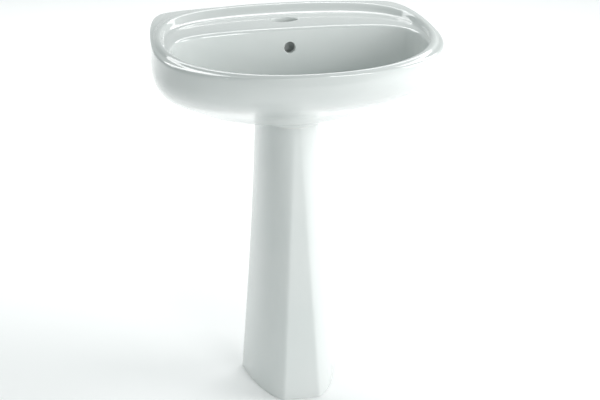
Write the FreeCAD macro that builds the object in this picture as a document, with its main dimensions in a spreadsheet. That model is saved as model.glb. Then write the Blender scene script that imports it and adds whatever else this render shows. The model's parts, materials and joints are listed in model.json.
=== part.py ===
import FreeCAD, Part
import os
from math import cos, pi, radians, sin
from FreeCAD import Placement, Rotation, Vector
import Sketcher

# Pedestal wash basin in vitreous china: a wall-backed basin on a hollow pedestal, with its
# slotted waste, push plug, bottle trap and wall fixings. Millimetres, +Z up. The origin is on the
# floor, midway between the left and right sides and midway in depth. The front faces -Y.

DIMENSIONS = {
    "basin_width": 600.0,        # over the widest part of the sides
    "basin_depth": 480.0,        # from the wall to the front of the rim
    "rim_height": 850.0,         # top of the crest at the back
    "front_fall": 21.5,          # how much lower the crest is at the front
    "wall_face": 213.0,          # Y of the wall that the basin hangs on
    "anchor_reach": 54.0,        # depth of the fixings in the wall
    "seat_height": 640.0,        # underside of the basin's collar
    "bedding": 2.0,              # soft strip between pedestal and basin
    "china": 11.0,               # wall of the pedestal
    "bowl_floor": 672.0,         # inside bottom of the bowl, around the waste
    "boss_underside": 652.0,     # under the thick china around the waste
    "drain_from_wall": 200.0,
    "drain_bore": 46.0,
    "tap_from_wall": 92.0,
    "tap_bore": 35.0,
    "tap_mouth": 59.0,           # width of the tap hole's oval mouth
    "tap_funnel": 12.0,          # depth over which the mouth closes down to the round bore
    "deck_height": 832.5,        # top of the tap deck at the tap hole
    "deck_thickness": 20.0,
    "overflow_bore": 24.0,
    "overflow_height": 790.0,
    "fixing_spacing": 280.0,
    "fixing_height": 770.0,
    "fixing_bore": 14.0,
    "back_panel": 14.0,          # china between the wall and the rear chamber
    "stud_diameter": 10.0,
    "foot_bore": 9.0,            # holes for the floor screws
    "foot_spacing": 144.0,
    "foot_from_wall": 127.0,
    "foot_lug": 14.0,            # thickness of the foot lugs
    "waste_thread": 41.6,        # outside of the waste's threaded tail
    "waste_inside": 34.0,
    "flange_diameter": 62.0,
    "tail_end": 602.0,           # lower end of the waste
    "stem_diameter": 6.6,
    "press_travel": 8.0,
    "pipe_diameter": 32.0,
    "pipe_wall": 1.6,
    "trap_diameter": 58.0,
    "outlet_height": 530.0,      # axis of the pipe to the wall
    "grip_ribs": 16.0,
}

document = FreeCAD.newDocument("pedestal_basin")
sheet = document.addObject("Spreadsheet::Sheet", "dims")
for row, (alias, size) in enumerate(DIMENSIONS.items(), start=1):
    sheet.set("A%d" % row, alias)
    sheet.set("B%d" % row, str(size))
    sheet.setAlias("B%d" % row, alias)
document.recompute()
NODES = []


def dim(alias):
    """A driving dimension, read from the sheet."""
    return float(getattr(sheet, alias))


def bind(thing, **formulas):
    """Bind properties to the sheet: each formula is written with bare aliases."""
    for name, formula in formulas.items():
        thing.setExpression(name.replace("__", "."), with_sheet(formula))


def with_sheet(formula):
    """The formula with every bare alias turned into a cell of the sheet."""
    words = []
    word = ""
    for letter in formula + " ":
        if letter.isalnum() or letter in "_.":
            word += letter
            continue
        words.append("dims." + word if word in DIMENSIONS else word)
        words.append(letter)
        word = ""
    return "".join(words).strip()


def place(thing, x="0", y="0", z="0", turn=None):
    """Place an object; turn is (axis, degrees)."""
    if turn:
        thing.Placement = Placement(Vector(), Rotation(Vector(*turn[0]), turn[1]))
    bind(thing, Placement__Base__x="(" + x + ") * 1 mm",
         Placement__Base__y="(" + y + ") * 1 mm", Placement__Base__z="(" + z + ") * 1 mm")


def node(thing, name):
    """Name an object as a sub-part of the model."""
    thing.Label = name
    NODES.append(thing)
    return thing


# ---------------------------------------------------------------- sketch helpers

def origin_plane(body, role):
    """One of a body's own origin planes."""
    return next(feature for feature in body.Origin.OriginFeatures if feature.Role == role)


def new_sketch(body, name, role="XZ_Plane"):
    """A sketch on one of the body's origin planes."""
    sketch = body.newObject("Sketcher::SketchObject", name)
    sketch.AttachmentSupport = [(origin_plane(body, role), "")]
    sketch.MapMode = "FlatFace"
    return sketch


def value_of(formula):
    """The number that a formula gives with the sheet's present sizes."""
    return float(sheet.evalExpression(with_sheet(formula)))


def bound_polygon(sketch, corners):
    """A closed polygon whose corners are pairs of formulas, each bound to the sheet."""
    points = [Vector(value_of(across), value_of(up), 0) for across, up in corners]
    first = sketch.GeometryCount
    for start, end in zip(points, points[1:] + points[:1]):
        sketch.addGeometry(Part.LineSegment(start, end), False)
    for index in range(len(points)):
        following = first + (index + 1) % len(points)
        sketch.addConstraint(Sketcher.Constraint("Coincident", first + index, 2, following, 1))
    for index, (across, up) in enumerate(corners):
        for kind, formula in (("DistanceX", across), ("DistanceY", up)):
            value = value_of(formula)
            number = sketch.addConstraint(
                Sketcher.Constraint(kind, -1, 1, first + index, 1, value))
            sketch.setExpression("Constraints[%d]" % number, with_sheet(formula))


def turned(name, corners, y="0", z="0", axis="up", x="0"):
    """A turned piece: a profile of (radius, height) formulas spun about the piece's own axis.

    axis "up" stands the piece on Z; "out" lays its height axis along +Y, towards the wall.
    """
    body = document.addObject("PartDesign::Body", name)
    sketch = new_sketch(body, name + "_profile")
    bound_polygon(sketch, corners)
    spin = body.newObject("PartDesign::Revolution", name + "_spin")
    spin.Profile = sketch
    spin.ReferenceAxis = (sketch, ["V_Axis"])
    spin.Angle = 360
    body.Tip = spin
    place(body, x, y, z, turn=((1, 0, 0), -90) if axis == "out" else None)
    document.recompute()
    return body


def add_ribs(body, inside, outside, low, high):
    """Grip ribs around a turned piece, from radius inside to radius outside."""
    half = 1.3
    sketch = new_sketch(body, body.Name + "_rib", "XY_Plane")
    bound_polygon(sketch, [(inside, str(-half)), (outside, str(-half * 0.6)),
                           (outside, str(half * 0.6)), (inside, str(half))])
    bind(sketch, AttachmentOffset__Base__z="(" + low + ") * 1 mm")
    rib = body.newObject("PartDesign::Pad", body.Name + "_rib_pad")
    rib.Profile = sketch
    bind(rib, Length=high + " - (" + low + ")")
    pattern = body.newObject("PartDesign::PolarPattern", body.Name + "_ribs")
    pattern.Originals = [rib]
    pattern.Axis = (sketch, ["N_Axis"])
    pattern.Angle = 360
    bind(pattern, Occurrences="grip_ribs")
    body.Tip = pattern
    document.recompute()


# ---------------------------------------------------------------- control-net surfaces

# The columns of a ring, in degrees from a side: close together at the square back corners,
# even around the round front.
BACK_COLUMNS = [0, 22, 36, 43, 47, 54, 68, 90]
FRONT_COLUMNS = [0, 15, 30, 45, 60, 75, 90]


def column_angles():
    """Angles of the columns: right side, back, left side, front."""
    back = BACK_COLUMNS + [180 - angle for angle in BACK_COLUMNS[-2::-1]]
    front = [180 + angle for angle in FRONT_COLUMNS[1:]]
    front += [360 - angle for angle in FRONT_COLUMNS[-2:0:-1]]
    return [radians(angle) for angle in back + front]


def ring(half, back, front, heights, centre, squareness=(2.0, 2.0), taper=0.0, flat=None):
    """One closed ring of control points, with y measured from the wall (front is negative).

    half is the half width, back and front the y limits, heights the z at the back and at the
    front, centre the y of the widest point, squareness the superellipse power of the back half
    and of the front half. taper narrows the back; flat stops the ring at that y.
    """
    points = []
    for angle in column_angles():
        behind = sin(angle) > 1e-9
        power = squareness[0] if behind else squareness[1]
        reach = back - centre if behind else centre - front
        size = (abs(cos(angle)) ** power + abs(sin(angle)) ** power) ** (1 / power)
        x = half * cos(angle) / size
        y = centre + reach * sin(angle) / size
        if behind:
            x *= 1 - taper * ((y - centre) / reach) ** 2
            y = y if flat is None else min(y, flat)
        along = (y - back) / (front - back)
        points.append(Vector(x, y, heights[0] + (heights[1] - heights[0]) * along))
    return points


def net_solid(rings):
    """A solid with one smooth cubic skin over the rings, closed by its flat first and last ring."""
    columns = len(rings[0])
    spans = len(rings) - 3
    across_knots = list(range(spans + 1))
    across_mults = [4] + [1] * (spans - 1) + [4]
    skin = Part.BSplineSurface()
    skin.buildFromPolesMultsKnots(rings, across_mults, [1] * (columns + 1), across_knots,
                                  list(range(columns + 1)), False, True, 3, 3)
    face = skin.toShape()
    rims = [edge for edge in face.Edges if edge.BoundBox.ZLength < 1e-6]
    caps = [Part.Face(Part.Wire(edge)) for edge in rims]
    shell = Part.Shell([face] + caps)
    shell.sewShape()
    return Part.Solid(shell)


# ---------------------------------------------------------------- basin

# The skin runs a little inside its control rings, so the rings are drawn this much larger.
SIDE_SWELL = 1.6
FRONT_SWELL = 4.0
CREST_SWELL = 1.0
GROUND_OFF = 0.8         # china ground off the back to make it flat
CORNER = 14              # superellipse power of the square back corners
BACK_TAPER = 0.107       # how much narrower the basin is at the wall than at its widest
CREST_BACK = -13.5       # y where the rim starts to fall towards the front
CREST_SPAN_LOSS = 23     # the fall ends this much short of the whole depth
EDGE_DROP = 4            # from the crest down to the outline
EDGE_DEPTH = 8           # upright stretch below the outline
NEAR_CREST = 12          # further than this from the crest the outline falls away
CORNER_FALL = 0.12


def net_half():
    return dim("basin_width") / 2 + SIDE_SWELL


def net_depth():
    return dim("basin_depth") + FRONT_SWELL


def rim_rings():
    """The crest, the crease outside it and the basin's outline below, as control rings."""
    wide = net_half()
    deep = net_depth()
    rim = dim("rim_height")
    top = rim + CREST_SWELL
    fall = dim("front_fall")
    crest = ring(wide - 16, -19, 11 - deep, (top, top - fall), -221, (2.6, 2.3))
    crest_outer = ring(wide - 10.5, -11, 7 - deep, (top - 1, top - fall - 0.8), -221, (2.65, 2.33))
    crease = ring(wide - 8, -6, 5.5 - deep, (top - 8, top - fall - 3), -224, (2.7, 2.35))
    edge = edge_ring(crest)
    shoulder = between(crease, edge, 0.5, 0.5)
    under_edge = between(edge, edge, 0, -EDGE_DEPTH)
    return [crest, crest_outer, crease, shoulder, edge, under_edge]


def edge_ring(crest):
    """The outline below the crest; it falls away where the back corners reach past the crest."""
    outline = ring(net_half() - 2, 6, 4 - net_depth(), (0, 0), -247, (CORNER, 2.47), BACK_TAPER,
                   flat=GROUND_OFF)
    slope = dim("front_fall") / (net_depth() - CREST_SPAN_LOSS)
    for point, high in zip(outline, crest):
        gap = Vector(point.x - high.x, point.y - high.y, 0).Length
        height = dim("rim_height") + min(0, point.y - CREST_BACK) * slope
        point.z = height - EDGE_DROP - max(gap - NEAR_CREST, 0) * CORNER_FALL
    return outline


def between(one, other, share, lift):
    """A ring part way from one ring to another, raised by lift."""
    return [a + (b - a) * share + Vector(0, 0, lift) for a, b in zip(one, other)]


def body_ring(half, front, height, centre):
    """A level ring of the skirt, with a straight back."""
    return ring(half, 6, -front, (height, height), centre, (CORNER, 2.2), BACK_TAPER, GROUND_OFF)


def basin_rings():
    """All rings of the basin's skin, from the waste out over the rim and down to the collar."""
    wide = net_half()
    deep = net_depth()
    rim = dim("rim_height")
    floor = dim("bowl_floor")
    seat = dim("seat_height")
    drain = -dim("drain_from_wall")
    bowl = [
        ring(32.5, drain + 32.5, drain - 32.5, (floor, floor), drain),
        ring(52, drain + 35.5, -255, (floor + 0.5, floor + 2), drain),
        ring(120, -163.5, -285, (floor + 2, floor + 12), -215, (2.6, 2.1)),
        ring(210, -163, -315, (floor + 10, floor + 30), -225, (2.8, 2.1)),
        ring(242, -162, -372, (floor + 38, floor + 56), -245, (3.1, 2.1)),
        ring(256, -160.5, -418, (floor + 73, floor + 81), -268, (3.3, 2.1)),
        ring(wide - 40.5, -159.5, 38 - deep, (rim - 70, rim - 70), -281, (3.35, 2.1)),
        ring(wide - 39, -158.5, 27 - deep, (rim - 42, rim - 46), -287, (3.37, 2.1)),
        ring(wide - 38, -158, 22 - deep, (rim - 27, rim - 33), -290, (3.37, 2.1)),
        ring(wide - 37, -157, 18 - deep, (rim - 19.5, rim - 25), -292, (3.37, 2.1)),
    ]
    deck = [
        ring(wide - 32, -143, 16 - deep, (rim - 18, rim - 23.5), -280, (3.3, 2.13)),
        ring(wide - 29, -95, 15 - deep, (rim - 17.5, rim - 22.5), -250, (2.9, 2.2)),
        ring(wide - 26.5, -48, 14.5 - deep, (rim - 17.5, rim - 22.3), -232, (2.65, 2.25)),
        ring(wide - 24.5, -36, 14 - deep, (rim - 9, rim - 21.8), -226, (2.6, 2.28)),
        ring(wide - 22, -29, 13 - deep, (rim + 0.5, rim - 20.6), -223, (2.6, 2.3)),
    ]
    skirt = [
        body_ring(wide, deep, rim - 49, -247),
        body_ring(wide + 1.5, deep - 17.5, rim - 78, -247),
        body_ring(wide - 10, deep - 63, rim - 117, -210),
        body_ring(wide - 38, deep - 151, rim - 155, -167),
        body_ring(wide - 94, deep - 209, rim - 190, -137),
        body_ring(160, 262, seat + 12, -140),
        ring(105, -60, -254, (seat + 8, seat + 8), -145, (3.0, 2.2)),
        ring(78, -92, -247, (seat + 6, seat + 6), -150, (2.6, 2.2)),
        ring(74, -97, -246, (seat + 2.5, seat + 2.5), -150, (2.6, 2.2)),
        ring(73, -98, -245, (seat, seat), -150, (2.6, 2.2)),
    ]
    return bowl + deck + rim_rings() + skirt


def from_wall(shape):
    """Move a shape drawn with its back at y = 0 to the wall."""
    shape.translate(Vector(0, dim("wall_face"), 0))
    return shape


def rounded_rectangle(half, back, front, height, radius):
    """A closed wire in a level plane, with y measured from the wall."""
    arcs = []
    corners = [(1, back, 0), (-1, back, 90), (-1, front, 180), (1, front, 270)]
    for side, y, start in corners:
        inset = -radius if y == back else radius
        centre = Vector(side * (half - radius), y + inset, height)
        circle = Part.Circle(centre, Vector(0, 0, 1), radius)
        arcs.append(Part.Arc(circle, radians(start), radians(start + 90)).toShape())
    edges = []
    for arc, following in zip(arcs, arcs[1:] + arcs[:1]):
        edges.append(arc)
        end = arc.valueAt(arc.LastParameter)
        edges.append(Part.makeLine(end, following.valueAt(following.FirstParameter)))
    return Part.Wire(edges)


def rear_chamber():
    """The hollow behind the bowl, open underneath, where a tap's tails and the fixings are."""
    panel = -dim("back_panel")
    ceiling = dim("deck_height") - dim("deck_thickness")
    seat = dim("seat_height")
    levels = [(118, -104, seat - 20, 14), (140, -104, seat + 20, 14), (214, -143, seat + 62, 30),
              (250, -144, seat + 104, 40), (262, -144, ceiling, 44)]
    wires = [rounded_rectangle(half, panel, front, height, radius)
             for half, front, height, radius in levels]
    return from_wall(Part.makeLoft(wires, True, True))


def make_shape(name, shape):
    """A document object that holds a finished shape."""
    feature = document.addObject("Part::Feature", name)
    feature.Shape = shape
    return feature


def box(name, half, low_y, high_y, low_z, high_z):
    """A box centred on x = 0; every argument is a formula, y measured from the wall."""
    block = document.addObject("Part::Box", name)
    bind(block, Length="2 * (" + half + ") * 1 mm",
         Width="((" + high_y + ") - (" + low_y + ")) * 1 mm",
         Height="((" + high_z + ") - (" + low_z + ")) * 1 mm")
    place(block, "-(" + half + ")", "(wall_face + (" + low_y + "))", "(" + low_z + ")")
    return block


def cylinder(name, diameter, length, x, y, z, along_y=False):
    """A cylinder standing up, or lying along +Y."""
    rod = document.addObject("Part::Cylinder", name)
    bind(rod, Radius="(" + diameter + ") / 2 * 1 mm", Height="(" + length + ") * 1 mm")
    place(rod, x, y, z, turn=((1, 0, 0), -90) if along_y else None)
    return rod


def fused(name, parts):
    fuse = document.addObject("Part::MultiFuse", name)
    fuse.Shapes = parts
    return fuse


def cut(name, base, tool):
    result = document.addObject("Part::Cut", name)
    result.Base = base
    result.Tool = tool
    return result


# The tap hole's mouth from above the deck down to the bore: share of the funnel's depth, share
# of the mouth's extra width, and how far the soft edge stands outside the oval.
TAP_FUNNEL = [(-0.35, 1.0, 5.0), (-0.08, 1.0, 2.3), (0.06, 1.0, 1.2), (0.25, 1.0, 0.9),
              (0.5, 1.0, 0.8), (0.72, 0.97, 0.8), (0.88, 0.75, 0.7), (1.0, 0.0, 0.3)]


def tap_hole_tool():
    """Cutter for the tap hole: an oval mouth that closes down to a straight round bore."""
    bore = dim("tap_bore") / 2
    extra = dim("tap_mouth") / 2 - bore
    deck = dim("deck_height")
    neck = deck - dim("tap_funnel")
    centre = -dim("tap_from_wall")
    wires = []
    for depth, width, soft in TAP_FUNNEL:
        middle = Vector(0, centre, deck - depth * dim("tap_funnel"))
        if width > 0:
            oval = Part.Ellipse(middle, bore + extra * width + soft, bore + soft)
        else:
            oval = Part.Circle(middle, Vector(0, 0, 1), bore)
        wires.append(Part.Wire(oval.toShape()))
    funnel = Part.makeLoft(wires, True, True)
    below = dim("deck_thickness")
    shaft = Part.makeCylinder(bore, below, Vector(0, centre, neck - below))
    return make_shape("tap_cutter", from_wall(funnel.fuse(shaft)))


def make_basin():
    blank = make_shape("basin_blank", from_wall(net_solid(basin_rings())))
    duct = box("overflow_duct", "28", "-150", "-122", "seat_height - 30", "deck_height")
    chamber = cut("chamber_around_duct", make_shape("rear_chamber", rear_chamber()), duct)
    collar = make_shape("collar_hollow", collar_hollow())
    channel = box("overflow_channel", "16", "-149", "-130", "boss_underside + 7",
                  "overflow_height + overflow_bore / 2 + 2")
    passage = box("overflow_passage", "8", "-drain_from_wall", "-140", "boss_underside + 7",
                  "boss_underside + 15")
    mouth = cylinder("overflow_mouth", "overflow_bore", "60", "0", "(wall_face - 195)",
                     "overflow_height", along_y=True)
    drain = cylinder("drain_cutter", "drain_bore", "80", "0", "(wall_face - drain_from_wall)",
                     "(bowl_floor - 40)")
    holes = [cylinder("fixing_cutter_%d" % (side > 0), "fixing_bore", "60",
                      "(%d * fixing_spacing / 2)" % side, "(wall_face - 40)", "fixing_height",
                      along_y=True) for side in (-1, 1)]
    ground = box("ground_back", "basin_width", "0", "20", "seat_height - 20", "rim_height + 20")
    hollow = fused("basin_hollows", [chamber, collar, channel, passage, mouth, drain, ground] + holes
                   + [tap_hole_tool()])
    node(cut("basin_cut", blank, hollow), "basin")


# ---------------------------------------------------------------- pedestal

FOOT_HALF = 112.0        # half width of the pedestal at the floor
TOP_HALF = 71.5          # and under the basin
FLARE = 1.35             # how the width spreads towards the floor: 1 is a straight side
PEDESTAL_SPANS = 5
FACET_FOOT = 42.0        # half width of the flat front facet at the floor
FACET_LOSS = 37.0        # and how much narrower it is at the top
FOOT_FRONT = -283.0      # y of the front facet at the floor
FRONT_LEAN = 38.0        # how far it leans back towards the top
OPEN_BACK = -102.0       # y of the open back
BACK_PULL = 2.0          # the sides come in this much at the back
LEAST_FACET = 3.0
LUG_LENGTH = 40.0        # along X
LUG_WIDTH = 44.0         # along Y
LUG_OUTWARD = 7.0        # from its screw hole's centre to its own
LUG_FORWARD = 20.0       # from its screw hole's centre to its front


def pedestal_half(share):
    """Half width of the pedestal at a share of its height."""
    return TOP_HALF + (FOOT_HALF - TOP_HALF) * (1 - share) ** FLARE


def pedestal_curve(share, inset, narrower=0.0):
    """Corner points of the right-hand side of a section, y from the wall.

    The side runs from the front facet's edge in one curve to the open back.
    """
    half = pedestal_half(share) - narrower
    slender = (FOOT_HALF - half) / (FOOT_HALF - TOP_HALF)
    facet = FACET_FOOT - FACET_LOSS * share - inset * 0.4
    front = FOOT_FRONT + FRONT_LEAN * slender
    side = half - inset
    nose = front + inset
    soft = (0.53 + 0.08 * share, 0.17 - 0.155 * share)
    full = (0.91 + 0.13 * share, 0.61 - 0.22 * share)
    start = Vector(max(facet, LEAST_FACET), nose, 0)
    end = Vector(side - BACK_PULL, OPEN_BACK, 0)
    span = end - start
    return [start, start + Vector(span.x * soft[0], span.y * soft[1], 0),
            start + Vector(span.x * full[0], span.y * full[1], 0), end]


def side_edge(points, height, mirror):
    """A cubic edge through the curve's corner points, at a height, mirrored or not."""
    flip = -1 if mirror else 1
    poles = [Vector(point.x * flip, point.y, height) for point in points]
    curve = Part.BezierCurve()
    curve.setPoles(poles)
    return curve


def section_wire(share, height, narrower=0.0):
    """The closed U-shaped section of the pedestal's wall at one height."""
    outer = pedestal_curve(share, 0, narrower)
    inner = pedestal_curve(share, dim("china"), narrower)
    right = side_edge(outer, height, False).toBSpline().toShape()
    left = side_edge(outer, height, True).toBSpline().toShape()
    right_inside = side_edge(inner, height, False).toBSpline().toShape()
    left_inside = side_edge(inner, height, True).toBSpline().toShape()

    def line(a, b, flip_a=1, flip_b=1):
        return Part.makeLine(Vector(a.x * flip_a, a.y, height), Vector(b.x * flip_b, b.y, height))

    edges = [line(outer[0], outer[0], -1, 1), right, line(outer[3], inner[3]), right_inside,
             line(inner[0], inner[0], 1, -1), left_inside, line(inner[3], outer[3], -1, -1), left]
    return Part.Wire(edges)


def pedestal_top():
    return dim("seat_height") - dim("bedding")


def pedestal_shell():
    shares = [level / PEDESTAL_SPANS for level in range(PEDESTAL_SPANS + 1)]
    wires = [section_wire(share, share * pedestal_top()) for share in shares]
    return from_wall(Part.makeLoft(wires, True, False))


def collar_hollow():
    """The hollow inside the basin's collar, up to the thick boss around the waste."""
    inner = pedestal_curve(1.0, dim("china") + 1)
    low = dim("seat_height") - 10
    behind = Vector(inner[3].x, inner[3].y + 6, low)
    edges = [side_edge(inner, low, False).toShape(), side_edge(inner, low, True).toShape(),
             Part.makeLine(Vector(inner[0].x, inner[0].y, low),
                           Vector(-inner[0].x, inner[0].y, low)),
             Part.makeLine(Vector(inner[3].x, inner[3].y, low), behind),
             Part.makeLine(Vector(-inner[3].x, inner[3].y, low), Vector(-behind.x, behind.y, low)),
             Part.makeLine(behind, Vector(-behind.x, behind.y, low))]
    outline = Part.Face(Part.Wire(Part.__sortEdges__(edges)))
    return from_wall(outline.extrude(Vector(0, 0, dim("boss_underside") - low)))


def make_pedestal():
    shell = make_shape("pedestal_shell", pedestal_shell())
    lugs = []
    bores = []
    for side in (-1, 1):
        lug = document.addObject("Part::Box", "foot_lug_%d" % (side > 0))
        bind(lug, Length="%g mm" % LUG_LENGTH, Width="%g mm" % LUG_WIDTH,
             Height="foot_lug * 1 mm")
        corner = "(%d * foot_spacing / 2 - %g)" % (side, LUG_LENGTH / 2 - side * LUG_OUTWARD)
        place(lug, corner, "(wall_face - foot_from_wall - %g)" % LUG_FORWARD, "0")
        lugs.append(lug)
        bores.append(cylinder("foot_cutter_%d" % (side > 0), "foot_bore", "foot_lug + 20",
                              "(%d * foot_spacing / 2)" % side,
                              "(wall_face - foot_from_wall)", "(-10)"))
    whole = fused("pedestal_with_lugs", [shell] + lugs)
    node(cut("pedestal_cut", whole, fused("foot_cutters", bores)), "pedestal")


def make_bedding():
    """The soft strip that the basin sits on: the pedestal's top outline, a little narrower."""
    face = Part.Face(section_wire(1.0, pedestal_top(), narrower=0.3))
    strip = from_wall(face.extrude(Vector(0, 0, dim("bedding"))))
    node(make_shape("bedding", strip), "bedding_strip")


# ---------------------------------------------------------------- waste and plug

DRAIN_Y = "(wall_face - drain_from_wall)"


def make_waste():
    seal = 1.5
    rim = "flange_diameter / 2"
    outside = "waste_thread / 2"
    inside = "waste_inside / 2"
    bottom = "tail_end - bowl_floor"
    body = turned("waste_body", [
        (outside, bottom), (outside, str(seal)), (rim, str(seal)), (rim + " - 0.4", "2.6"),
        (rim + " - 4", "4"), (inside + " + 5", "3.2"), (inside, "1"), (inside, bottom)],
        y=DRAIN_Y, z="bowl_floor")
    slots = new_sketch(body, "waste_slot")
    bound_polygon(slots, [("-5", "-13"), ("5", "-13"), ("5", "-4"), ("-5", "-4")])
    pocket = body.newObject("PartDesign::Pocket", "waste_slot_cut")
    pocket.Profile = slots
    pocket.Type = "ThroughAll"
    pocket.Midplane = True
    around = body.newObject("PartDesign::PolarPattern", "waste_slots")
    around.Originals = [pocket]
    around.Axis = (origin_plane(body, "Z_Axis"), [""])
    around.Angle = 360
    around.Occurrences = 4
    body.Tip = around
    node(body, "waste_body")
    bore = "waste_thread / 2 + 0.2"
    node(turned("flange_seal", [(bore, "0"), (rim + " - 1", "0"), (rim + " - 1", str(seal)),
                                (bore, str(seal))], y=DRAIN_Y, z="bowl_floor"),
         "waste_flange_seal")
    node(turned("under_washer", [(bore, "-4"), ("27.6", "-4"), ("28", "0"), (bore, "0")],
                y=DRAIN_Y, z="boss_underside"), "waste_under_washer")
    nut = turned("backnut", [(bore, "-14"), ("25.5", "-14"), ("26.2", "-13"), ("26.2", "-6.5"),
                             ("28", "-6"), ("28", "-4"), (bore, "-4")],
                 y=DRAIN_Y, z="boss_underside")
    node(nut, "waste_backnut")


def make_plug():
    """The push plug: dome, stem and seal move; the cartridge stays in the waste."""
    open_gap = "(press_travel + 0.6)"
    top = "4"
    node(turned("dome", [
        ("0", top + " + " + open_gap + " + 2"), ("27", top + " + " + open_gap + " + 2"),
        ("30.5", top + " + " + open_gap + " + 1.2"), ("31", top + " + " + open_gap + " + 2.2"),
        ("30", top + " + " + open_gap + " + 4"), ("22", top + " + " + open_gap + " + 6"),
        ("11", top + " + " + open_gap + " + 7.1"), ("0", top + " + " + open_gap + " + 7.5")],
        y=DRAIN_Y, z="bowl_floor"), "plug_dome")
    node(turned("dome_seal", [
        ("22", top + " + " + open_gap), ("26.5", top + " + " + open_gap),
        ("26.5", top + " + " + open_gap + " + 2"), ("22", top + " + " + open_gap + " + 2")],
        y=DRAIN_Y, z="bowl_floor"), "plug_seal")
    stem = "stem_diameter / 2"
    node(turned("stem", [
        ("0", "-40"), (stem + " - 0.8", "-40"), (stem, "-39"), (stem, "4"), ("8", "5"),
        ("8", top + " + " + open_gap + " + 2"), ("0", top + " + " + open_gap + " + 2")],
        y=DRAIN_Y, z="bowl_floor"), "plug_stem")
    hub = turned("cartridge", [
        (stem + " + 0.06", "-34"), ("7", "-34"), ("7", "-18"), (stem + " + 0.06", "-18")],
        y=DRAIN_Y, z="bowl_floor")
    spoke = new_sketch(hub, "spoke", "XY_Plane")
    bound_polygon(spoke, [("6", "-1.2"), ("waste_inside / 2 - 0.1", "-1.2"),
                          ("waste_inside / 2 - 0.1", "1.2"), ("6", "1.2")])
    spoke.AttachmentOffset = Placement(Vector(0, 0, -30), Rotation())
    pad = hub.newObject("PartDesign::Pad", "spoke_pad")
    pad.Profile = spoke
    pad.Length = 8
    spokes = hub.newObject("PartDesign::PolarPattern", "spokes")
    spokes.Originals = [pad]
    spokes.Axis = (spoke, ["N_Axis"])
    spokes.Angle = 360
    spokes.Occurrences = 3
    hub.Tip = spokes
    node(hub, "plug_cartridge")
    low = dim("bowl_floor") - 17.4
    high = dim("bowl_floor") + 4.0
    wire = 0.55
    turns = 6
    coil_radius = 5.4
    coil_length = high - low - 2 * wire
    coil = Part.makeHelix(coil_length / turns, coil_length, coil_radius)
    section = Part.Wire(Part.Circle(Vector(coil_radius, 0, 0), Vector(0, 1, 0), wire).toShape())
    spring = Part.Wire(coil).makePipeShell([section], True, True)
    spring.translate(Vector(0, dim("wall_face") - dim("drain_from_wall"), low + wire))
    node(make_shape("spring", spring), "plug_spring")


# ---------------------------------------------------------------- bottle trap

def ribbed_nut(name, label, corners, ribs, **where):
    nut = turned(name, corners, **where)
    add_ribs(nut, *ribs)
    node(nut, label)


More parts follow.
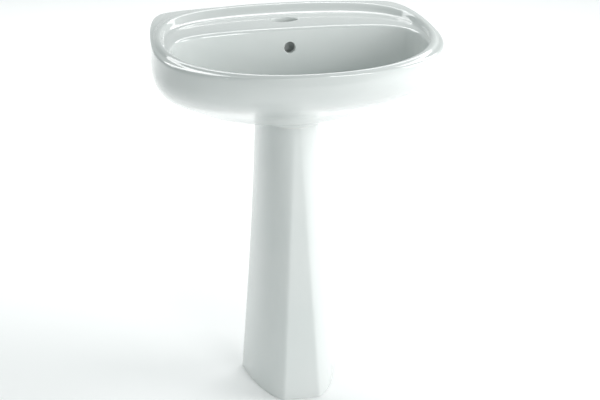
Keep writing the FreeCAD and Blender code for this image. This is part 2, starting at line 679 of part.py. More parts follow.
def make_trap():
    pipe = "pipe_diameter / 2"
    inside = "(pipe_diameter / 2 - pipe_wall)"
    snug = "(pipe_diameter / 2 + 0.04)"
    loose = "(pipe_diameter / 2 + 0.25)"
    thread = "(waste_thread / 2 + 0.2)"
    trap = "trap_diameter / 2"
    node(turned("inlet_seal", [(pipe, "-2"), ("20.4", "-2"), ("20.4", "0"), (pipe, "0")],
                y=DRAIN_Y, z="tail_end"), "trap_inlet_seal")
    node(turned("inlet_tube", [
        (inside, "-140"), (pipe, "-140"), (pipe, "-4.2"), ("20.4", "-4.2"), ("20.4", "-2"),
        (inside, "-2")], y=DRAIN_Y, z="tail_end"), "trap_inlet_tube")
    ribbed_nut("inlet_nut", "trap_inlet_nut", [
        (loose, "-9"), ("23.5", "-9"), ("24.6", "-7.5"), ("24.6", "13"), ("23.8", "14"),
        (thread, "14"), (thread, "-4.6"), (loose, "-4.6")],
        ("24", "26", "-7", "12"), y=DRAIN_Y, z="tail_end")
    top = "outlet_height + 26"
    body = turned("trap_shell", [
        ("22.6", "-56"), ("22.6", "-39"), (trap + " - 3", "-36"), (trap + " - 3", "22"),
        (loose, "24"), (loose, "44"), ("20.2", "44"), ("20.2", "28"), (trap + " - 6", "26"),
        (trap, "20"), (trap, "-42"), ("25.4", "-42"), ("25.4", "-56")],
        y=DRAIN_Y, z="outlet_height")
    spigot = cylinder("trap_spigot", "40.4", "50", "0", DRAIN_Y, "outlet_height", along_y=True)
    spigot_bore = cylinder("spigot_bore", "pipe_diameter + 0.5", "80", "0", DRAIN_Y,
                           "outlet_height", along_y=True)
    core = cylinder("trap_core", "trap_diameter - 6", "56", "0", DRAIN_Y,
                    "(outlet_height - 35)")
    outside = fused("trap_with_spigot", [body, cut("spigot_outside_core", spigot, core)])
    node(cut("trap_cut", outside, spigot_bore), "trap_body")
    node(turned("top_seal", [(snug, "18"), ("20", "18"), ("17.5", "22"), (snug, "22")],
                y=DRAIN_Y, z=top), "trap_top_seal")
    ribbed_nut("top_nut", "trap_top_nut", [
        ("20.5", "3"), ("23.8", "3"), ("24.6", "4"), ("24.6", "21"), ("22.5", "25"),
        (loose, "25"), (loose, "22.3"), ("20.5", "22.3")],
        ("24", "26", "4", "20"), y=DRAIN_Y, z=top)
    node(turned("cup_seal", [("25.9", "-44"), ("28.4", "-44"), ("28.4", "-42"), ("25.9", "-42")],
                y=DRAIN_Y, z="outlet_height"), "trap_cup_seal")
    ribbed_nut("cup", "trap_cup", [
        ("0", "-100"), ("16", "-100"), ("23", "-98"), (trap + " - 1.5", "-90"),
        (trap, "-84"), (trap, "-45"), (trap + " - 0.6", "-44.3"), ("25.8", "-44.3"),
        ("25.8", "-84"), ("21", "-94"), ("15", "-96.5"), ("0", "-96.5")],
        (trap + " - 0.6", trap + " + 1.3", "-74", "-47"), y=DRAIN_Y, z="outlet_height")
    node(turned("outlet_seal", [(snug, "50"), ("20", "50"), ("17.5", "57.5"), (snug, "57.5")],
                y=DRAIN_Y, z="outlet_height", axis="out"), "trap_outlet_seal")
    ribbed_nut("outlet_nut", "trap_outlet_nut", [
        ("20.5", "34"), ("23.8", "34"), ("24.6", "35"), ("24.6", "56"), ("22.5", "60.5"),
        (loose, "60.5"), (loose, "57.8"), ("20.5", "57.8")],
        ("24", "26", "35", "54"), y=DRAIN_Y, z="outlet_height", axis="out")
    groove = "(pipe_diameter / 2 - 0.3)"
    node(turned("outlet_tube", [
        (inside, "-drain_from_wall + 40"), (pipe, "-drain_from_wall + 40"),
        (pipe, "3.4"), (groove, "3.7"), (groove, "4.5"), (pipe, "4.8"),
        (pipe, "anchor_reach - 5"), (pipe + " - 1", "anchor_reach - 4"),
        (inside, "anchor_reach - 4")],
        y="wall_face", z="outlet_height", axis="out"), "outlet_pipe")
    node(turned("rosette", [
        (loose, "-13"), (loose + " + 2", "-13"), (loose + " + 5", "-10"), ("26", "-6"),
        ("31", "-4"), ("33", "-2"), ("33", "0"), ("31.5", "0"), ("25", "-4.2"),
        (loose, "-8.5")],
        y="wall_face", z="outlet_height", axis="out"), "wall_rosette")


# ---------------------------------------------------------------- wall fixings

def fixing_group(name, label, corners, sides=None):
    """Two equal turned pieces, one on each wall stud, joined in one sub-part."""
    pair = []
    for side in (-1, 1):
        x = "(%d * fixing_spacing / 2)" % side
        piece = turned("%s_%d" % (name, side > 0), corners, x=x, y="wall_face",
                       z="fixing_height", axis="out")
        if sides:
            prism = document.addObject("Part::Prism", "%s_prism_%d" % (name, side > 0))
            prism.Polygon = 6
            prism.Circumradius = sides
            prism.Height = 60
            place(prism, x, "(wall_face - 58)", "fixing_height", turn=((1, 0, 0), -90))
            common = document.addObject("Part::Common", "%s_hex_%d" % (name, side > 0))
            common.Base = piece
            common.Tool = prism
            piece = common
        pair.append(piece)
    group = document.addObject("Part::Compound", name + "_pair")
    group.Links = pair
    node(group, label)


def make_fixings():
    stud = "stud_diameter / 2"
    loose = "(stud_diameter / 2 + 0.2)"
    hole = "(fixing_bore / 2 - 0.1)"
    panel = "-back_panel"
    fixing_group("plug", "wall_plugs", [
        (loose, "2.5"), (hole, "2.5"), (hole, "anchor_reach - 8"),
        (hole + " - 1.2", "anchor_reach"), (loose, "anchor_reach")])
    fixing_group("stud", "wall_studs", [
        ("0", panel + " - 22"), (stud + " - 1", panel + " - 22"), (stud, panel + " - 21"),
        (stud, "10"), (stud + " - 0.6", "12"), (stud + " - 0.6", "anchor_reach - 16"),
        ("0", "anchor_reach - 6")])
    fixing_group("bush", "fixing_bushes", [
        (loose, panel + " - 3"), ("14", panel + " - 3"), ("14", panel), (hole, panel),
        (hole, "-0.5"), (loose, "-0.5")])
    fixing_group("washer", "fixing_washers", [
        (loose, panel + " - 5"), ("12", panel + " - 5"), ("12", panel + " - 3"),
        (loose, panel + " - 3")])
    fixing_group("nut", "fixing_nuts", [
        (loose, panel + " - 13"), ("8.4", panel + " - 13"), ("9.8", panel + " - 12.2"),
        ("9.8", panel + " - 5"), (loose, panel + " - 5")], sides=9.8)


# ---------------------------------------------------------------- build and write

def check_document():
    """Stop if any object failed or any sub-part is empty or broken."""
    for thing in document.Objects:
        if "Invalid" in thing.State or "Error" in thing.State:
            raise RuntimeError("%s (%s) failed: %s" % (thing.Name, thing.Label, thing.State))
    for thing in NODES:
        if thing.Shape.isNull() or not thing.Shape.isValid():
            raise RuntimeError("%s has no valid shape" % thing.Label)


def write_parts():
    os.makedirs("parts", exist_ok=True)
    for thing in NODES:
        thing.Shape.exportStep("parts/%s.step" % thing.Label)
        box_of = thing.Shape.BoundBox
        print("%-20s solids %d  volume %9.1f cm3  x %.1f..%.1f  y %.1f..%.1f  z %.1f..%.1f" % (
            thing.Label, len(thing.Shape.Solids), thing.Shape.Volume / 1000, box_of.XMin,
            box_of.XMax, box_of.YMin, box_of.YMax, box_of.ZMin, box_of.ZMax))


make_basin()
make_pedestal()
make_bedding()
make_waste()
make_plug()
make_trap()
make_fixings()
document.recompute()
check_document()
write_parts()
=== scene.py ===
import json
import math

import bmesh
import bpy
import numpy as np
from mathutils import Matrix, Vector


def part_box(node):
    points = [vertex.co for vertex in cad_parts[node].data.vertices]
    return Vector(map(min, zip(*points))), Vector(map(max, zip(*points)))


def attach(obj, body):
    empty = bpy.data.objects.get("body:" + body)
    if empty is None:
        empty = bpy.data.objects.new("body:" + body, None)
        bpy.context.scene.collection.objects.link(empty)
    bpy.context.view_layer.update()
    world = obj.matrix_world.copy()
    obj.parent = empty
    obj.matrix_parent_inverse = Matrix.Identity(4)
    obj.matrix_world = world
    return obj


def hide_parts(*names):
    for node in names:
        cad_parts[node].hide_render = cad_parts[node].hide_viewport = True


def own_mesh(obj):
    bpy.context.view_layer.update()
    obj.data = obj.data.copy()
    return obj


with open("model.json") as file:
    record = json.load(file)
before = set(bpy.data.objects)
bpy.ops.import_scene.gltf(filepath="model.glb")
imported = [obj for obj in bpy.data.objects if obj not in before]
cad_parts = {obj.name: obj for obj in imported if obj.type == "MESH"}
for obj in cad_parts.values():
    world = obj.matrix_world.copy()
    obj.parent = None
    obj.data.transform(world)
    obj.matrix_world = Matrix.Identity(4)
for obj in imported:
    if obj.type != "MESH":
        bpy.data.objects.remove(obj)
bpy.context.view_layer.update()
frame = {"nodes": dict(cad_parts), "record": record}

# Pedestal wash basin: the two china castings are rebuilt as dense smooth meshes, the basin from
# the control rings that shape the frame's casting. The plug's spring is a copy of the frame's.
# Every other piece is the frame's own solid with a finish of its own.
# Lengths in this file are millimetres until a mesh is made; Y is measured from the wall.

MM = 0.001
BODY = "sink"
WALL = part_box("basin")[1].y / MM
HALF_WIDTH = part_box("basin")[1].x / MM
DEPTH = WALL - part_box("basin")[0].y / MM
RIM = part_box("basin")[1].z / MM
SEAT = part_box("basin")[0].z / MM
PEDESTAL_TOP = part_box("pedestal")[1].z / MM
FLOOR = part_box("waste_flange_seal")[0].z / MM
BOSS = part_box("waste_under_washer")[1].z / MM
MOUNTS = {mount["name"]: mount for mount in frame["record"]["mounts"]}
DRAIN = WALL - (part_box("plug_dome")[0].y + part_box("plug_dome")[1].y) / 2 / MM
TAP = WALL - MOUNTS["tap_hole"]["pos_m"][1] / MM
TAP_RADIUS = MOUNTS["tap_hole"]["dims"]["r_mm"]
NUT_ACROSS_CORNERS = 19.6
STUD_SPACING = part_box("fixing_nuts")[1].x / MM * 2 - NUT_ACROSS_CORNERS
STUD_HEIGHT = (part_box("wall_studs")[0].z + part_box("wall_studs")[1].z) / 2 / MM
STUD_HOLE = 7.0


# ---------------------------------------------------------------- control rings of the basin

BACK_COLUMNS = [0, 22, 36, 43, 47, 54, 68, 90]
FRONT_COLUMNS = [0, 15, 30, 45, 60, 75, 90]


def column_angles():
    """Angles of the columns of control points: right side, back, left side, front."""
    back = BACK_COLUMNS + [180 - angle for angle in BACK_COLUMNS[-2::-1]]
    front = [180 + angle for angle in FRONT_COLUMNS[1:]]
    front += [360 - angle for angle in FRONT_COLUMNS[-2:0:-1]]
    return [math.radians(angle) for angle in back + front]


def ring(half, back, front, heights, centre, squareness=(2.0, 2.0), taper=0.0, flat=None):
    """One closed ring of control points: a superellipse, squarer at the back than in front."""
    points = []
    for angle in column_angles():
        behind = math.sin(angle) > 1e-9
        power = squareness[0] if behind else squareness[1]
        reach = back - centre if behind else centre - front
        size = (abs(math.cos(angle)) ** power + abs(math.sin(angle)) ** power) ** (1 / power)
        x = half * math.cos(angle) / size
        y = centre + reach * math.sin(angle) / size
        if behind:
            x *= 1 - taper * ((y - centre) / reach) ** 2
            y = y if flat is None else min(y, flat)
        along = (y - back) / (front - back)
        points.append((x, y, heights[0] + (heights[1] - heights[0]) * along))
    return np.array(points)


SIDE_SWELL = 1.6
FRONT_SWELL = 4.0
CREST_SWELL = 1.0
FRONT_FALL = 21.5
GROUND_OFF = 0.8
CORNER = 14
BACK_TAPER = 0.107
CREST_BACK = -13.5
CREST_SPAN_LOSS = 23
EDGE_DROP = 4
EDGE_DEPTH = 8
NEAR_CREST = 12
CORNER_FALL = 0.12


def basin_rings():
    """Control rings from the waste out over the bowl, deck and crest and down to the collar."""
    wide = HALF_WIDTH + SIDE_SWELL
    deep = DEPTH + FRONT_SWELL
    drain = -DRAIN
    bowl = [
        ring(32.5, drain + 32.5, drain - 32.5, (FLOOR, FLOOR), drain),
        ring(52, drain + 35.5, -255, (FLOOR + 0.5, FLOOR + 2), drain),
        ring(120, -163.5, -285, (FLOOR + 2, FLOOR + 12), -215, (2.6, 2.1)),
        ring(210, -163, -315, (FLOOR + 10, FLOOR + 30), -225, (2.8, 2.1)),
        ring(242, -162, -372, (FLOOR + 38, FLOOR + 56), -245, (3.1, 2.1)),
        ring(256, -160.5, -418, (FLOOR + 73, FLOOR + 81), -268, (3.3, 2.1)),
        ring(wide - 40.5, -159.5, 38 - deep, (RIM - 70, RIM - 70), -281, (3.35, 2.1)),
        ring(wide - 39, -158.5, 27 - deep, (RIM - 42, RIM - 46), -287, (3.37, 2.1)),
        ring(wide - 38, -158, 22 - deep, (RIM - 27, RIM - 33), -290, (3.37, 2.1)),
        ring(wide - 37, -157, 18 - deep, (RIM - 19.5, RIM - 25), -292, (3.37, 2.1)),
    ]
    deck = [
        ring(wide - 32, -143, 16 - deep, (RIM - 18, RIM - 23.5), -280, (3.3, 2.13)),
        ring(wide - 29, -95, 15 - deep, (RIM - 17.5, RIM - 22.5), -250, (2.9, 2.2)),
        ring(wide - 26.5, -48, 14.5 - deep, (RIM - 17.5, RIM - 22.3), -232, (2.65, 2.25)),
        ring(wide - 24.5, -36, 14 - deep, (RIM - 9, RIM - 21.8), -226, (2.6, 2.28)),
        ring(wide - 22, -29, 13 - deep, (RIM + 0.5, RIM - 20.6), -223, (2.6, 2.3)),
    ]
    top = RIM + CREST_SWELL
    crest = ring(wide - 16, -19, 11 - deep, (top, top - FRONT_FALL), -221, (2.6, 2.3))
    crest_outer = ring(wide - 10.5, -11, 7 - deep, (top - 1, top - FRONT_FALL - 0.8), -221,
                       (2.65, 2.33))
    crease = ring(wide - 8, -6, 5.5 - deep, (top - 8, top - FRONT_FALL - 3), -224,
                  (2.7, 2.35))
    edge = ring(wide - 2, 6, 4 - deep, (0, 0), -247, (CORNER, 2.47), BACK_TAPER,
                flat=GROUND_OFF)
    gap = np.linalg.norm(edge[:, :2] - crest[:, :2], axis=1)
    fall = np.minimum(0, edge[:, 1] - CREST_BACK) * FRONT_FALL / (deep - CREST_SPAN_LOSS)
    edge[:, 2] = RIM + fall - EDGE_DROP - np.maximum(gap - NEAR_CREST, 0) * CORNER_FALL
    shoulder = (crease + edge) / 2 + (0, 0, 0.5)
    under_edge = edge - (0, 0, EDGE_DEPTH)

    def body_ring(half, front, height, centre):
        return ring(half, 6, -front, (height, height), centre, (CORNER, 2.2), BACK_TAPER,
                    GROUND_OFF)

    skirt = [
        body_ring(wide, deep, RIM - 49, -247),
        body_ring(wide + 1.5, deep - 17.5, RIM - 78, -247),
        body_ring(wide - 10, deep - 63, RIM - 117, -210),
        body_ring(wide - 38, deep - 151, RIM - 155, -167),
        body_ring(wide - 94, deep - 209, RIM - 190, -137),
        body_ring(160, 262, SEAT + 12, -140),
        ring(105, -60, -254, (SEAT + 8, SEAT + 8), -145, (3.0, 2.2)),
        ring(78, -92, -247, (SEAT + 6, SEAT + 6), -150, (2.6, 2.2)),
        ring(74, -97, -246, (SEAT + 2.5, SEAT + 2.5), -150, (2.6, 2.2)),
        ring(73, -98, -245, (SEAT, SEAT), -150, (2.6, 2.2)),
    ]
    rim = [crest, crest_outer, crease, shoulder, edge, under_edge]
    return np.array(bowl + deck + rim + skirt)


class Skin:
    """A cubic B-spline surface over closed control rings: u counts rings, v goes round."""

    def __init__(self, rings):
        self.rings = rings
        self.spans = len(rings) - 3
        self.columns = rings.shape[1]
        inner = np.arange(self.spans + 1, dtype=float)
        self.knots = np.concatenate([[0] * 3, inner, [self.spans] * 3])

    def across(self, u):
        """Weights of the rings at each u, with clamped ends."""
        count = len(self.rings)
        span = np.clip(u.astype(int), 0, self.spans - 1) + 3
        weights = np.zeros((len(u), len(self.knots) - 1))
        weights[np.arange(len(u)), span] = 1
        for degree in (1, 2, 3):
            previous = weights
            weights = np.zeros_like(previous)
            for index in range(len(self.knots) - 1 - degree):
                low = self.knots[index + degree] - self.knots[index]
                high = self.knots[index + degree + 1] - self.knots[index + 1]
                if low > 0:
                    weights[:, index] += (u - self.knots[index]) / low * previous[:, index]
                if high > 0:
                    rest = self.knots[index + degree + 1] - u
                    weights[:, index] += rest / high * previous[:, index + 1]
        return weights[:, :count]

    def around(self, v):
        """Weights of the columns at each v, closed."""
        start = np.floor(v).astype(int)
        f = v - start
        parts = [(1 - f) ** 3, 3 * f ** 3 - 6 * f ** 2 + 4, -3 * f ** 3 + 3 * f ** 2 + 3 * f + 1,
                 f ** 3]
        weights = np.zeros((len(v), self.columns))
        for offset, part in enumerate(parts):
            weights[np.arange(len(v)), (start - 1 + offset) % self.columns] += part / 6
        return weights

    def grid(self, u, v):
        return np.einsum("ir,rck,jc->ijk", self.across(u), self.rings, self.around(v))

    def points(self, u, v):
        return np.einsum("ir,rck,ic->ik", self.across(u), self.rings, self.around(v))

    def find(self, targets, axes, u, v):
        """The u, v where two coordinates of the surface reach each target, by Newton's method."""
        step = 1e-4
        for _ in range(30):
            here = self.points(u, v)[:, axes]
            along_u = (self.points(u + step, v)[:, axes] - here) / step
            along_v = (self.points(u, v + step)[:, axes] - here) / step
            miss = targets - here
            area = along_u[:, 0] * along_v[:, 1] - along_u[:, 1] * along_v[:, 0]
            du = (miss[:, 0] * along_v[:, 1] - miss[:, 1] * along_v[:, 0]) / area
            dv = (miss[:, 1] * along_u[:, 0] - miss[:, 0] * along_u[:, 1]) / area
            u = np.clip(u + np.clip(du, -0.5, 0.5), 0, self.spans - 1e-3)
            v = v + np.clip(dv, -0.5, 0.5)
        return u, v


# ---------------------------------------------------------------- mesh building

class Builder:
    """Collects vertices and faces in millimetres, with y from the wall."""

    def __init__(self):
        self.vertices = []
        self.faces = []

    def add(self, points):
        """Adds points and returns their indices."""
        first = len(self.vertices)
        self.vertices += [tuple(point) for point in points]
        return list(range(first, len(self.vertices)))

    def bridge(self, one, other, closed=True):
        """Quads between two loops of the same length."""
        count = len(one)
        for index in range(count if closed else count - 1):
            following = (index + 1) % count
            self.faces.append((one[index], one[following], other[following], other[index]))

    def cap(self, loop):
        self.faces.append(tuple(loop))

    def lofted(self, loops, capped=True):
        """Bridges a list of point loops in order and closes both ends."""
        indices = [self.add(loop) for loop in loops]
        for one, other in zip(indices, indices[1:]):
            self.bridge(one, other)
        if capped:
            self.cap(indices[0])
            self.cap(indices[-1])
        return indices

    def finish(self, name, smooth_angle=math.radians(38)):
        """Makes the object: metres, in the row frame, normals outwards."""
        points = [(x * MM, (y + WALL) * MM, z * MM) for x, y, z in self.vertices]
        mesh = bpy.data.meshes.new(name)
        mesh.from_pydata(points, [], self.faces)
        work = bmesh.new()
        work.from_mesh(mesh)
        bmesh.ops.remove_doubles(work, verts=work.verts, dist=1e-7)
        bmesh.ops.recalc_face_normals(work, faces=work.faces)
        work.to_mesh(mesh)
        work.free()
        piece = bpy.data.objects.new(name, mesh)
        bpy.context.scene.collection.objects.link(piece)
        shade(piece, smooth_angle)
        return piece


def shade(piece, smooth_angle=math.radians(38)):
    """Smooth shading with sharp edges where faces meet at more than the angle."""
    piece.data.shade_smooth()
    piece.data.set_sharp_from_angle(angle=smooth_angle)


def boolean(piece, tool, operation="DIFFERENCE"):
    """Applies an exact boolean and removes the tool."""
    modifier = piece.modifiers.new("boolean", "BOOLEAN")
    modifier.operation = operation
    modifier.solver = "EXACT"
    modifier.object = tool
    bpy.context.view_layer.update()
    shape = bpy.data.meshes.new_from_object(
        piece.evaluated_get(bpy.context.evaluated_depsgraph_get()))
    piece.modifiers.clear()
    old = piece.data
    name = old.name
    piece.data = shape
    bpy.data.meshes.remove(old)
    shape.name = name
    bpy.data.objects.remove(tool)
    shade(piece)


def circle(radius, count, centre=(0, 0), start=0.0):
    """Points round a circle, as pairs."""
    turns = np.arange(count) / count * 2 * math.pi + start
    return np.stack([centre[0] + radius * np.cos(turns), centre[1] + radius * np.sin(turns)], 1)


def tube(name, centre, along, radius, low, high, count=64):
    """A closed cylinder for cutting, along axis 1 (y) or 2 (z) from low to high."""
    made = Builder()
    loops = []
    for level in (low, high):
        flat = circle(radius, count, centre)
        height = np.full((count, 1), level)
        if along == 2:
            loops.append(np.hstack([flat, height]))
        else:
            loops.append(np.hstack([flat[:, :1], height, flat[:, 1:]]))
    made.lofted(loops)
    return made.finish(name)


def box_tool(name, x, y, z):
    """A closed box for cutting, between pairs of limits."""
    made = Builder()
    loop = [(x[0], y[0]), (x[1], y[0]), (x[1], y[1]), (x[0], y[1])]
    made.lofted([[(a, b, level) for a, b in loop] for level in z])
    return made.finish(name)


# ---------------------------------------------------------------- basin

ROWS_PER_SPAN = 8
COLUMNS_PER_SPAN = 12
TAP_MOUTH = 29.5
TAP_EDGE = 2.0
TAP_FUNNEL = 12.0
TAP_DECK = 832.5
OVERFLOW_HEIGHT = 790.0
OVERFLOW_RADIUS = 12.0
OVERFLOW_LIP = 1.6
DRAIN_RADIUS = 23.0
DRAIN_LIP = 1.5
CHAMBER_CEILING = 812.5
BACK_PANEL = 14.0


def patch_hole(made, skin, grid, u, v, valid, centre, axes, mouth, margin, loops_after):
    """Opens an oval hole in the skin's grid, where valid marks the right part of the grid.

    The grid's quads within the mouth's half axes plus a margin are left out. Rings of quads lead
    from their outline to a true oval on the surface, and loops_after gives the further loops.
    """
    plane = grid[:, :, axes]
    mouth = np.array(mouth)
    near = (np.abs(plane - np.array(centre)) < mouth + margin).all(axis=2)
    rows, columns = np.where(near & valid)
    low_row, high_row = rows.min() - 1, rows.max() + 1
    low_column, high_column = columns.min() - 1, columns.max() + 1
    outline = [(low_row, column) for column in range(low_column, high_column)]
    outline += [(row, high_column) for row in range(low_row, high_row)]
    outline += [(high_row, column) for column in range(high_column, low_column, -1)]
    outline += [(row, low_column) for row in range(high_row, low_row, -1)]
    rim_u = np.array([u[row] for row, column in outline])
    rim_v = np.array([v[column] for row, column in outline])
    corner = np.array([plane[row, column] for row, column in outline]) - np.array(centre)
    corner = corner / mouth
    turn = np.unwrap(np.arctan2(corner[:, 1], corner[:, 0]))
    even = turn[0] + np.arange(len(turn)) / len(turn) * 2 * math.pi * np.sign(turn[-1] - turn[0])
    turn = turn * 0.35 + even * 0.65
    target = np.stack([np.cos(turn), np.sin(turn)], 1) * mouth + np.array(centre)
    hole_u, hole_v = skin.find(target, axes, rim_u.copy(), rim_v.copy())
    previous = [row * len(v) + column for row, column in outline]
    steps = 8
    for step in range(1, steps + 1):
        share = (step / steps) ** 0.8
        points = skin.points(rim_u + (hole_u - rim_u) * share, rim_v + (hole_v - rim_v) * share)
        loop = made.add(points)
        made.bridge(previous, loop)
        previous = loop
    for points_after in loops_after(points):
        loop = made.add(points_after)
        made.bridge(previous, loop)
        previous = loop
    made.cap(previous)
    return low_row, high_row, low_column, high_column


def tap_mouth_loops(points):
    """Down from the deck over a soft edge, through the oval mouth into the straight round bore."""
    centre = np.array([0, -TAP])
    turn = np.arctan2((points[:, 1] + TAP) / (TAP_RADIUS + TAP_EDGE),
                      points[:, 0] / (TAP_MOUTH + TAP_EDGE))
    way = np.column_stack([np.cos(turn), np.sin(turn)])
    level = points[:, 2]
    loops = []
    steps = 8
    for step in range(1, steps + 1):
        angle = step / steps * math.pi / 2
        out = TAP_EDGE * (1 - math.sin(angle))
        drop = TAP_EDGE * (1 - math.cos(angle))
        place = centre + way * (TAP_MOUTH + out, TAP_RADIUS + out)
        loops.append(np.column_stack([place, level - drop]))
    steps = 14
    for step in range(1, steps + 1):
        share = step / steps
        wide = TAP_RADIUS + (TAP_MOUTH - TAP_RADIUS) * (1 - share ** 7)
        height = (level - TAP_EDGE) * (1 - share) + (TAP_DECK - TAP_FUNNEL) * share
        loops.append(np.column_stack([centre + way * (wide, TAP_RADIUS), height]))
    loops.append(np.column_stack([centre + way * TAP_RADIUS,
                                  np.full(len(points), CHAMBER_CEILING - 6)]))
    return loops


def overflow_loops(points):
    """From the bowl's back wall through a small round lip into the overflow's bore."""
    centre = np.array([0, OVERFLOW_HEIGHT])
    flat = points[:, [0, 2]]
    outward = (flat - centre) / np.linalg.norm(flat - centre, axis=1)[:, None]
    loops = []
    steps = 5
    for step in range(1, steps + 1):
        angle = step / steps * math.pi / 2
        radius = OVERFLOW_RADIUS + OVERFLOW_LIP * (1 - math.sin(angle))
        inwards = OVERFLOW_LIP * (1 - math.cos(angle))
        place = centre + outward * radius
        loops.append(np.column_stack([place[:, 0], points[:, 1] + inwards, place[:, 1]]))
    place = centre + outward * OVERFLOW_RADIUS
    loops.append(np.column_stack([place[:, 0], np.full(len(points), -141.0), place[:, 1]]))
    return loops


def drain_loops(first):
    """From the flat ring round the waste down its bore."""
    centre = np.array([0, -DRAIN])
    outward = first[:, :2] - centre
    length = np.linalg.norm(outward, axis=1)[:, None]
    outward = outward / length
    loops = []
    for share in (0.33, 0.66, 1.0):
        radius = length + (DRAIN_RADIUS + DRAIN_LIP - length) * share
        loops.append(np.column_stack([centre + outward * radius, first[:, 2]]))
    steps = 4
    for step in range(1, steps + 1):
        angle = step / steps * math.pi / 2
        radius = DRAIN_RADIUS + DRAIN_LIP * (1 - math.sin(angle))
        drop = DRAIN_LIP * (1 - math.cos(angle))
        loops.append(np.column_stack([centre + outward * radius, first[:, 2] - drop]))
    loops.append(np.column_stack([centre + outward * DRAIN_RADIUS,
                                  np.full(len(first), BOSS - 6.0)]))
    return loops


def basin_skin():
    """The basin's whole glazed surface, with its three holes opened."""
    skin = Skin(basin_rings())
    u = np.linspace(0, skin.spans, skin.spans * ROWS_PER_SPAN + 1)
    v = np.arange(skin.columns * COLUMNS_PER_SPAN) / COLUMNS_PER_SPAN
    grid = skin.grid(u, v)
    rows, columns = grid.shape[:2]
    made = Builder()
    made.add(grid.reshape(-1, 3))
    on_deck = (grid[:, :, 2] > RIM - 26) & (grid[:, :, 1] > -150)
    in_bowl = (np.arange(rows)[:, None] < 10 * ROWS_PER_SPAN) & (grid[:, :, 2] > FLOOR + 20)
    in_bowl &= grid[:, :, 1] > -175
    overflow_mouth = OVERFLOW_RADIUS + OVERFLOW_LIP
    opened = [
        patch_hole(made, skin, grid, u, v, on_deck, (0, -TAP), [0, 1],
                   (TAP_MOUTH + TAP_EDGE, TAP_RADIUS + TAP_EDGE), 6, tap_mouth_loops),
        patch_hole(made, skin, grid, u, v, in_bowl, (0, OVERFLOW_HEIGHT), [0, 2],
                   (overflow_mouth, overflow_mouth), 4, overflow_loops),
    ]
    for row in range(rows - 1):
        for column in range(columns):
            inside = any(r0 <= row < r1 and c0 <= column < c1 for r0, r1, c0, c1 in opened)
            if not inside:
                following = (column + 1) % columns
                made.faces.append((row * columns + column, row * columns + following,
                                   (row + 1) * columns + following, (row + 1) * columns + column))
    previous = list(range(columns))
    for points in drain_loops(grid[0]):
        loop = made.add(points)
        made.bridge(previous, loop)
        previous = loop
    made.cap(previous)
    made.cap(range((rows - 1) * columns, rows * columns))
    return made.finish("basin_glaze")


def rounded_loop(half, back, front, height, radius, notch=None):
    """A level rounded rectangle, with a notch in its front side for the overflow duct."""
    points = []
    for side, y, start in ((1, back, 0), (-1, back, 90), (-1, front, 180), (1, front, 270)):
        inset = -radius if y == back else radius
        for step in range(9):
            angle = math.radians(start + step * 90 / 8)
            points.append((side * (half - radius) + radius * math.cos(angle),
                           y + inset + radius * math.sin(angle), height))
        if notch and (side, y) == (-1, front):
            width, deep = notch
            points += [(-width, front, height), (-width, deep, height), (width, deep, height),
                       (width, front, height)]
    return points


def basin_hollows():
    """Cutting solids for the hollow rear chamber, the collar, the overflow way and the holes."""
    duct = (28.0, -122.0)
    levels = [(118, -104.0, SEAT - 20, 14), (140, -104.0, SEAT + 20, 14),
              (214, -143.0, SEAT + 62, 30), (250, -144.0, SEAT + 104, 40),
              (262, -144.0, CHAMBER_CEILING, 44)]
    chamber = Builder()
    chamber.lofted([rounded_loop(half, -BACK_PANEL, front, height, radius,
                                 (duct[0], max(duct[1], front)))
                    for half, front, height, radius in levels])
    inner = pedestal_points(1.0, china=12.0)
    outline = inner + [(inner[-1][0], inner[-1][1] + 6)]
    outline += [(-x, y) for x, y in reversed(outline)]
    collar = Builder()
    collar.lofted([[(x, y, level) for x, y in outline] for level in (SEAT - 10, BOSS)])
    tools = [chamber.finish("chamber_tool"), collar.finish("collar_tool"),
             box_tool("channel_tool", (-16, 16), (-149, -130),
                      (BOSS + 7, OVERFLOW_HEIGHT + OVERFLOW_RADIUS + 2)),
             box_tool("passage_tool", (-8, 8), (-DRAIN, -140), (BOSS + 7, BOSS + 15))]
    tools.append(box_tool("ground_tool", (-400, 400), (0, 20), (SEAT - 20, RIM + 20)))
    for side in (-1, 1):
        tools.append(tube("stud_tool", (side * STUD_SPACING / 2, STUD_HEIGHT), 1, STUD_HOLE,
                          -40, 20))
    return tools


# ---------------------------------------------------------------- pedestal

FOOT_HALF = 112.0
TOP_HALF = 71.5
FLARE = 1.35
CHINA = 11.0


def pedestal_points(share, china=0.0, count=28):
    """The right-hand side of a section, from the front facet's edge to the open back."""
    half = TOP_HALF + (FOOT_HALF - TOP_HALF) * (1 - share) ** FLARE
    slender = (FOOT_HALF - half) / (FOOT_HALF - TOP_HALF)
    start = np.array([max(42 - 37 * share - china * 0.4, 3), -283 + 38 * slender + china])
    end = np.array([half - china - 2, -102])
    span = end - start
    soft = np.array([0.53 + 0.08 * share, 0.17 - 0.155 * share])
    full = np.array([0.91 + 0.13 * share, 0.61 - 0.22 * share])
    corners = [start, start + span * soft, start + span * full, end]
    t = (np.linspace(0, 1, count) ** 1.15)[:, None]
    curve = ((1 - t) ** 3 * corners[0] + 3 * (1 - t) ** 2 * t * corners[1]
             + 3 * (1 - t) * t ** 2 * corners[2] + t ** 3 * corners[3])
    return [tuple(point) for point in curve]


def round_outline(points, spacing, soften):
    """A closed outline resampled evenly and softened, so that its corners become round."""
    points = np.array(points + points[:1])
    steps = np.linalg.norm(np.diff(points, axis=0), axis=1)
    length = np.concatenate([[0], np.cumsum(steps)])
    count = int(round(length[-1] / spacing))
    at = np.arange(count) / count * length[-1]
    even = np.stack([np.interp(at, length, points[:, k]) for k in (0, 1)], 1)
    for _ in range(soften):
        even = even / 2 + (np.roll(even, 1, 0) + np.roll(even, -1, 0)) / 4
    return even


